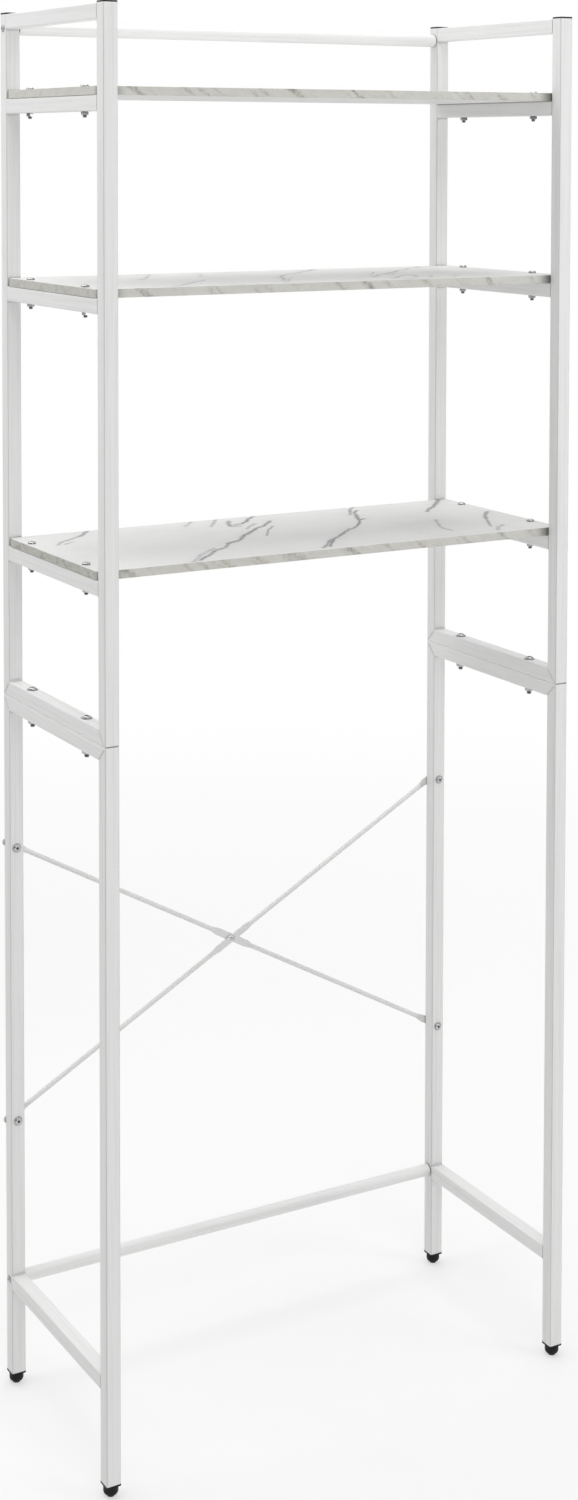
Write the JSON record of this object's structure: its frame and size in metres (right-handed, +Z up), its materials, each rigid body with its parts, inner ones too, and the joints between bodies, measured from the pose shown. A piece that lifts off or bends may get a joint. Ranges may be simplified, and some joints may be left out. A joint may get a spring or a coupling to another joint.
{
  "type": "over-the-toilet storage rack",
  "caption": "Free-standing square-tube rack that stands over a toilet, with marble-look shelves above, a rear cross brace and levelling feet.",
  "frame": {"origin": "on the floor, at the middle of the bounding box's footprint", "axes": "+X to the user's right as they face the rack, +Y from the open front to the braced back, +Z up"},
  "size_m": [0.6442, 0.3024, 1.705],
  "materials": {
    "white_powder_coat": "satin white powder coat",
    "marble_laminate_board": "fibreboard with white marble-look laminate, low gloss",
    "marble_edge_band": "marble-look edge banding, low gloss",
    "plated_steel": "bright zinc-plated steel",
    "black_plastic": "fine-textured black moulded plastic"
  },
  "bodies": {
    "rack": {"brace_front_rod": "white_powder_coat", "brace_nuts": "plated_steel", "brace_rear_rod": "white_powder_coat", "brace_rivet": "plated_steel", "brace_screws": "plated_steel", "cap_front_left": "black_plastic", "cap_front_right": "black_plastic", "cap_rear_left": "black_plastic", "cap_rear_right": "black_plastic", "foot_insert_front_left": "black_plastic", "foot_insert_front_right": "black_plastic", "foot_insert_rear_left": "black_plastic", "foot_insert_rear_right": "black_plastic", "frame_nuts": "plated_steel", "frame_screws": "plated_steel", "lower_left_front_post": "white_powder_coat", "lower_left_low_rail": "white_powder_coat", "lower_left_rear_post": "white_powder_coat", "lower_left_top_rail": "white_powder_coat", "lower_right_front_post": "white_powder_coat", "lower_right_low_rail": "white_powder_coat", "lower_right_rear_post": "white_powder_coat", "lower_right_top_rail": "white_powder_coat", "lower_shelf_board": "marble_laminate_board", "lower_shelf_edge_band": "marble_edge_band", "middle_shelf_board": "marble_laminate_board", "middle_shelf_edge_band": "marble_edge_band", "rear_lower_tube": "white_powder_coat", "rear_tube_plugs": "plated_steel", "rear_tube_screws": "plated_steel", "rear_upper_tube": "white_powder_coat", "shelf_nuts": "plated_steel", "shelf_screws": "plated_steel", "upper_left_bottom_rail": "white_powder_coat", "upper_left_front_post": "white_powder_coat", "upper_left_lower_shelf_rail": "white_powder_coat", "upper_left_middle_shelf_rail": "white_powder_coat", "upper_left_rear_post": "white_powder_coat", "upper_left_top_rail": "white_powder_coat", "upper_left_upper_shelf_rail": "white_powder_coat", "upper_right_bottom_rail": "white_powder_coat", "upper_right_front_post": "white_powder_coat", "upper_right_lower_shelf_rail": "white_powder_coat", "upper_right_middle_shelf_rail": "white_powder_coat", "upper_right_rear_post": "white_powder_coat", "upper_right_top_rail": "white_powder_coat", "upper_right_upper_shelf_rail": "white_powder_coat", "upper_shelf_board": "marble_laminate_board", "upper_shelf_edge_band": "marble_edge_band"},
    "base_front_left": {"foot_base_front_left": "black_plastic"},
    "stud_front_left": {"foot_stud_front_left": "plated_steel"},
    "base_front_right": {"foot_base_front_right": "black_plastic"},
    "stud_front_right": {"foot_stud_front_right": "plated_steel"},
    "base_rear_left": {"foot_base_rear_left": "black_plastic"},
    "stud_rear_left": {"foot_stud_rear_left": "plated_steel"},
    "base_rear_right": {"foot_base_rear_right": "black_plastic"},
    "stud_rear_right": {"foot_stud_rear_right": "plated_steel"}
  },
  "joints": [
    {"name": "foot_rise_front_left", "type": "slide", "parent": "rack", "child": "base_front_left", "axis": [0, 0, -1], "range_m": [0, 0.008]},
    {"name": "foot_screw_front_left", "type": "hinge", "parent": "base_front_left", "child": "stud_front_left", "pos_m": [-0.311, -0.14185, 0.01], "axis": [0, 0, -1], "range_deg": [0, 2304]},
    {"name": "foot_rise_front_right", "type": "slide", "parent": "rack", "child": "base_front_right", "axis": [0, 0, -1], "range_m": [0, 0.008]},
    {"name": "foot_screw_front_right", "type": "hinge", "parent": "base_front_right", "child": "stud_front_right", "pos_m": [0.311, -0.14185, 0.01], "axis": [0, 0, -1], "range_deg": [0, 2304]},
    {"name": "foot_rise_rear_left", "type": "slide", "parent": "rack", "child": "base_rear_left", "axis": [0, 0, -1], "range_m": [0, 0.008]},
    {"name": "foot_screw_rear_left", "type": "hinge", "parent": "base_rear_left", "child": "stud_rear_left", "pos_m": [-0.311, 0.13515, 0.01], "axis": [0, 0, -1], "range_deg": [0, 2304]},
    {"name": "foot_rise_rear_right", "type": "slide", "parent": "rack", "child": "base_rear_right", "axis": [0, 0, -1], "range_m": [0, 0.008]},
    {"name": "foot_screw_rear_right", "type": "hinge", "parent": "base_rear_right", "child": "stud_rear_right", "pos_m": [0.311, 0.13515, 0.01], "axis": [0, 0, -1], "range_deg": [0, 2304]}
  ],
  "couplings": [
    {"joint": "foot_rise_front_left", "follows": "foot_screw_front_left", "m_per_rad": 0.00019894},
    {"joint": "foot_rise_front_right", "follows": "foot_screw_front_right", "m_per_rad": 0.00019894},
    {"joint": "foot_rise_rear_left", "follows": "foot_screw_rear_left", "m_per_rad": 0.00019894},
    {"joint": "foot_rise_rear_right", "follows": "foot_screw_rear_right", "m_per_rad": 0.00019894}
  ]
}
